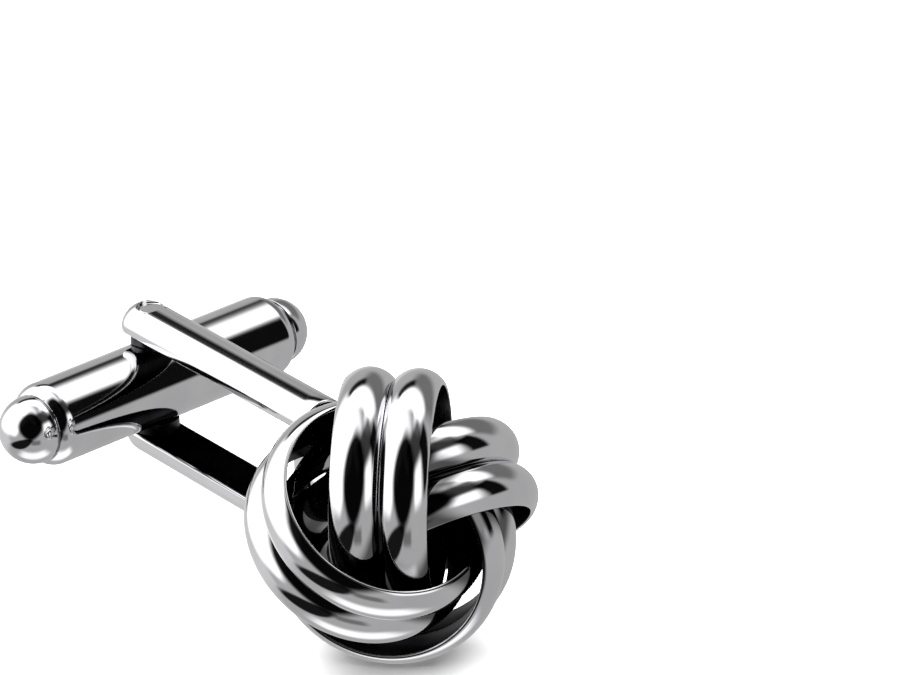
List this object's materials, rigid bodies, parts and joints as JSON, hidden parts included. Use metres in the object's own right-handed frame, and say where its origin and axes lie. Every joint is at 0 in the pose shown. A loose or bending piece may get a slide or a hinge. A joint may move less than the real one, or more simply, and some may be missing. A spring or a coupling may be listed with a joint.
{
  "type": "swivel bar cufflink",
  "caption": "Cufflink with a domed knot of interlinked double-strand loops, a forked post and a swivel toggle bar with rounded end knobs.",
  "frame": {"origin": "the cuff seat: the plane of the back of the knot, on the axis of the post", "axes": "+Y along the post from the knot to the toggle, X across the post and square to the hinge pin, +Z along the hinge pin"},
  "size_m": [0.0198, 0.0303, 0.0144],
  "materials": {
    "knot_plate": "polished plating",
    "fork_plate": "polished plating",
    "toggle_plate": "polished plating",
    "washer_steel": "turned",
    "spring_steel": "rolled strip"
  },
  "bodies": {
    "post": {"right_loop_front_strand": "knot_plate", "right_loop_rear_strand": "knot_plate", "top_loop_front_strand": "knot_plate", "top_loop_rear_strand": "knot_plate", "left_loop_front_strand": "knot_plate", "left_loop_rear_strand": "knot_plate", "bottom_loop_front_strand": "knot_plate", "bottom_loop_rear_strand": "knot_plate", "post_fork": "fork_plate", "peg_collar": "fork_plate", "hinge_pin": "fork_plate", "upper_pivot_washer": "washer_steel", "lower_pivot_washer": "washer_steel"},
    "toggle": {"toggle_barrel": "toggle_plate", "right_end_knob": "toggle_plate", "left_end_knob": "toggle_plate", "detent_spring": "spring_steel"}
  },
  "joints": [
    {"name": "toggle_pivot", "type": "hinge", "parent": "post", "child": "toggle", "pos_m": [0, 0.01574, 0], "axis": [0, 0, 1], "continuous": true}
  ]
}
